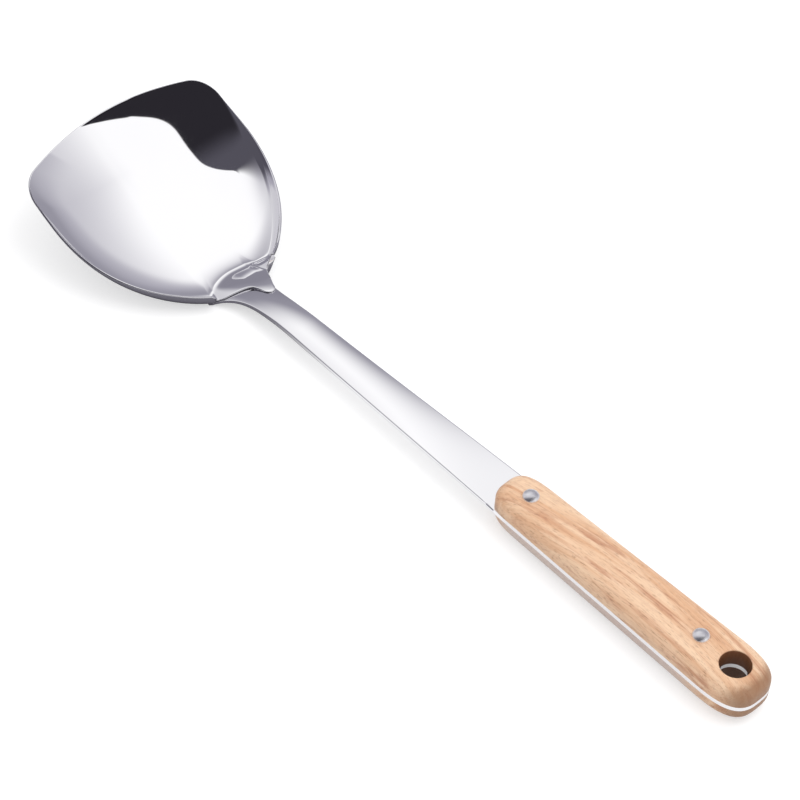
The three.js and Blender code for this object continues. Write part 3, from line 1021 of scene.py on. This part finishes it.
def makeFloor():
    bm = bmesh.new()
    bmesh.ops.create_grid(bm, x_segments=1, y_segments=1, size=studio["floorSize"] / 2 * mm)
    material, shader = newMaterial("paleFloor")
    inSteel = shader.rayIs("Glossy")
    # Painted shadow: near the blade the floor turns dark and stops glowing, for glossy rays only
    paintedShadowMask = stationOf(shader.parted(objectPlace(shader))[0]).smooth(*studio["paintedShadowStations"])
    strength = shader.rayIs("Camera") * studio["floorGlow"]
    strength = strength + inSteel * (1 - paintedShadowMask) * studio["floorGlowInSteel"]
    colour = shader.mix(inSteel * paintedShadowMask, studio["floorColour"], studio["paintedShadowInSteel"])
    matt = shader.wire("ShaderNodeBsdfDiffuse", {}, {"Color": colour}, "BSDF")
    glowing = {"Color": studio["white"], "Strength": strength}
    glow = shader.wire("ShaderNodeEmission", {}, glowing, "Emission")
    both = shader.add("ShaderNodeAddShader", {}, {})
    shader.join(both.inputs[0], matt)
    shader.join(both.inputs[1], glow)
    shader.add("ShaderNodeOutputMaterial", {}, {"Surface": Wire(shader, both.outputs[0])})
    floor = makeObject("floor", bm, material)
    floor.location.z = -studio["floorDrop"] * mm


# What polished steel sees: grey walls, two soft panels overhead and a tall dark card.
# A direction is a point on a flat ceiling: how far ahead and how far aside.

walls = {
    "grey": (0.44, 0.43, 0.49),
    "dimGrey": (0.325, 0.317, 0.37),
    "farGrey": (0.26, 0.253, 0.3),
    "paleGrey": (0.675, 0.67, 0.7),
    "horizon": (0.50, 0.49, 0.54),
    "nearAside": (-1.1, -0.6),
    "nearAhead": (0.35, 0.15),
    "behind": -0.25,  # from here backwards the walls grow paler
    "behindGrowth": 0.9,
    "farAhead": (0.9, 2.0),
    "sideAside": (-0.55, -0.1),
    "sideAhead": (-0.05, 0.1),
    "cornerAside": (-0.25, 0.0),
    "cornerAhead": (0.0, 0.3),
    "horizonHeight": (0.25, 0.0),
    # A low white wall on the side opposite the camera
    "whiteTurn": (0.67, -0.74),
    "whiteWidth": (0.75, 0.9),
    "whiteHeight": (0.22, 0.08),
}


def wallColour(shader, direction, ahead, aside):
    x, y, z = direction
    near = aside.smooth(*walls["nearAside"]) * ahead.smooth(*walls["nearAhead"])
    colour = shader.mix(near, walls["dimGrey"], walls["grey"])
    behind = (walls["behind"] - ahead).atLeast(0) * walls["behindGrowth"]
    colour = shader.mix(behind, colour, walls["paleGrey"])
    colour = shader.mix(ahead.smooth(*walls["farAhead"]), colour, walls["farGrey"])
    side = aside.smooth(*walls["sideAside"]) * ahead.smooth(*walls["sideAhead"])
    colour = shader.mix(side, colour, walls["paleGrey"])
    corner = (aside - ahead).smooth(*walls["cornerAside"]) * ahead.smooth(*walls["cornerAhead"])
    colour = shader.mix(corner, colour, walls["grey"])
    colour = shader.mix(z.smooth(*walls["horizonHeight"]), colour, walls["horizon"])
    turnX, turnY = walls["whiteTurn"]
    opposite = (x * turnX + y * turnY).smooth(*walls["whiteWidth"]) * z.smooth(*walls["whiteHeight"])
    return shader.mix(opposite, colour, studio["white"])


panels = {
    "colour": (1.08, 1.08, 1.08),
    "foot": -0.55,  # of the first panel, which leans away behind
    "footSoftness": 0.04,
    "leanFrom": -0.3,
    "lean": 0.2,
    "front": 0.1,
    "frontSoftness": 0.11,
    "top": (-0.05, -0.5),
    "secondMiddle": (0.55, -0.5),
    "secondReach": (0.9, -0.1),
    "secondFront": (0.38, 0.52),
}


def panelShare(ahead, aside):
    leaning = (panels["leanFrom"] - ahead).atLeast(0) * panels["lean"]
    below = (panels["foot"] - aside - leaning).atLeast(0) / panels["footSoftness"]
    beyond = (ahead - panels["front"]).atLeast(0) / panels["frontSoftness"]
    first = 1 / (1 + below**2) / (1 + beyond**2) * aside.smooth(*panels["top"])
    middleAhead, middleAside = panels["secondMiddle"]
    away = ((ahead - middleAhead) ** 2 + (aside - middleAside) ** 2).math("SQRT")
    second = away.smooth(*panels["secondReach"]) * ahead.smooth(*panels["secondFront"])
    return first.math("MAXIMUM", second)


card = {
    "dark": (0.024, 0.022, 0.028),
    "dusk": (0.09, 0.086, 0.108),
    "duskAhead": (-0.28, -0.19),
    # Its lower edge curves up towards its right side
    "foot": -0.4643,
    "footSlope": 0.13,
    "footEdge": 0.0004,
    "risenFrom": -0.23,
    "risenLimit": 0.45,
    "rise": 1.9,
    "fallenFrom": -0.305,
    "fall": 13.5,
    # Its right side leans over and softens with height
    "side": -0.13,
    "upperFrom": -0.45,
    "upperLean": 0.34,
    "aloftLean": 0.47,
    "softness": 0.012,
    "upperSoftness": 0.25,
    "softnessLimit": 0.12,
    "aloftSoftness": 0.08,
    "backSide": -0.6,
    "backLean": 0.5,
    "backSoftness": 0.1,
    "horizonHeight": (-0.02, 0.02),
}


def cardShare(z, ahead, aside):
    risen = (ahead - card["risenFrom"]).atLeast(0).atMost(card["risenLimit"])
    fallen = (card["fallenFrom"] - ahead).atLeast(0)
    foot = ahead * card["footSlope"] + card["foot"] + risen**2 * card["rise"] - fallen**3 * card["fall"]
    overFoot = (aside - foot).smooth(-card["footEdge"], card["footEdge"])
    upper, aloft = (aside - card["upperFrom"]).atLeast(0), aside.atLeast(0)
    side = upper * card["upperLean"] + aloft * card["aloftLean"] + card["side"]
    softness = (upper * card["upperSoftness"] + card["softness"]).atMost(card["softnessLimit"])
    softness = softness + aloft * card["aloftSoftness"]
    insideRight = ((ahead - side) / softness).smooth(1, -1)
    insideBack = (ahead - card["backSide"] + aloft * card["backLean"]).smooth(0, card["backSoftness"])
    return overFoot * insideRight * insideBack * z.smooth(*card["horizonHeight"])


def makeSky():
    world = bpy.data.worlds.new("studio")
    bpy.context.scene.world = world
    shader = Shader(world)
    direction = shader.parted(shader.wire("ShaderNodeTexCoord", {}, {}, "Generated"))
    x, y, z = direction
    height = z.atLeast(studio["leastHeight"])
    ahead, aside = x / height, y / height
    colour = wallColour(shader, direction, ahead, aside)
    colour = shader.mix(panelShare(ahead, aside), colour, panels["colour"])
    cardColour = shader.mix(ahead.smooth(*card["duskAhead"]), card["dark"], card["dusk"])
    colour = shader.mix(cardShare(z, ahead, aside), colour, cardColour)
    colour = shader.mix(shader.rayIs("Glossy"), studio["plainLight"], colour)
    colour = shader.mix(shader.rayIs("Camera"), colour, studio["white"])
    sky = shader.wire("ShaderNodeBackground", {}, {"Color": colour, "Strength": 1}, "Background")
    shader.add("ShaderNodeOutputWorld", {}, {"Surface": sky})


softLamp = {
    "spot": (-500, -500, 1700),
    "target": (0, 0, 0),
    "size": 1200,
    "power": 10,  # watts
}


def makeLamp(name, settings):
    data = bpy.data.lights.new(name, "AREA")
    data.size = settings["size"] * mm
    data.energy = settings["power"]
    lamp = bpy.data.objects.new(name, data)
    bpy.context.scene.collection.objects.link(lamp)
    lamp.location = Vector(settings["spot"]) * mm
    towards = Vector(settings["target"]) - Vector(settings["spot"])
    lamp.rotation_euler = towards.to_track_quat("-Z", "Y").to_euler()
    lamp.visible_glossy = False


makeFloor()
makeSky()
makeLamp("softLamp", softLamp)

# Camera

view = {
    "target": (194.08, -2.05, 0),  # station, across and height
    "distance": 1269.4,
    "turn": math.radians(-47.69),
    "tilt": math.radians(48.45),
    "roll": math.radians(5.13),
    "lens": 144,
    "sensor": 36,
}


def makeCamera():
    turn, tilt, roll = view["turn"], view["tilt"], view["roll"]
    level = math.cos(tilt)
    ahead = Vector((level * math.cos(turn), level * math.sin(turn), -math.sin(tilt)))
    sideways = ahead.cross(Vector((0, 0, 1))).normalized()
    upwards = sideways.cross(ahead)
    right = sideways * math.cos(roll) + upwards * math.sin(roll)
    top = upwards * math.cos(roll) - sideways * math.sin(roll)
    data = bpy.data.cameras.new("camera")
    data.lens = view["lens"]
    data.sensor_width = view["sensor"]
    camera = bpy.data.objects.new("camera", data)
    bpy.context.scene.collection.objects.link(camera)
    spot = place(*view["target"]) - ahead * view["distance"] * mm
    camera.matrix_world = Matrix.Translation(spot) @ Matrix((right, top, -ahead)).transposed().to_4x4()
    bpy.context.scene.camera = camera


makeCamera()
bpy.context.scene.view_settings.view_transform = "Standard"
print("studio made")
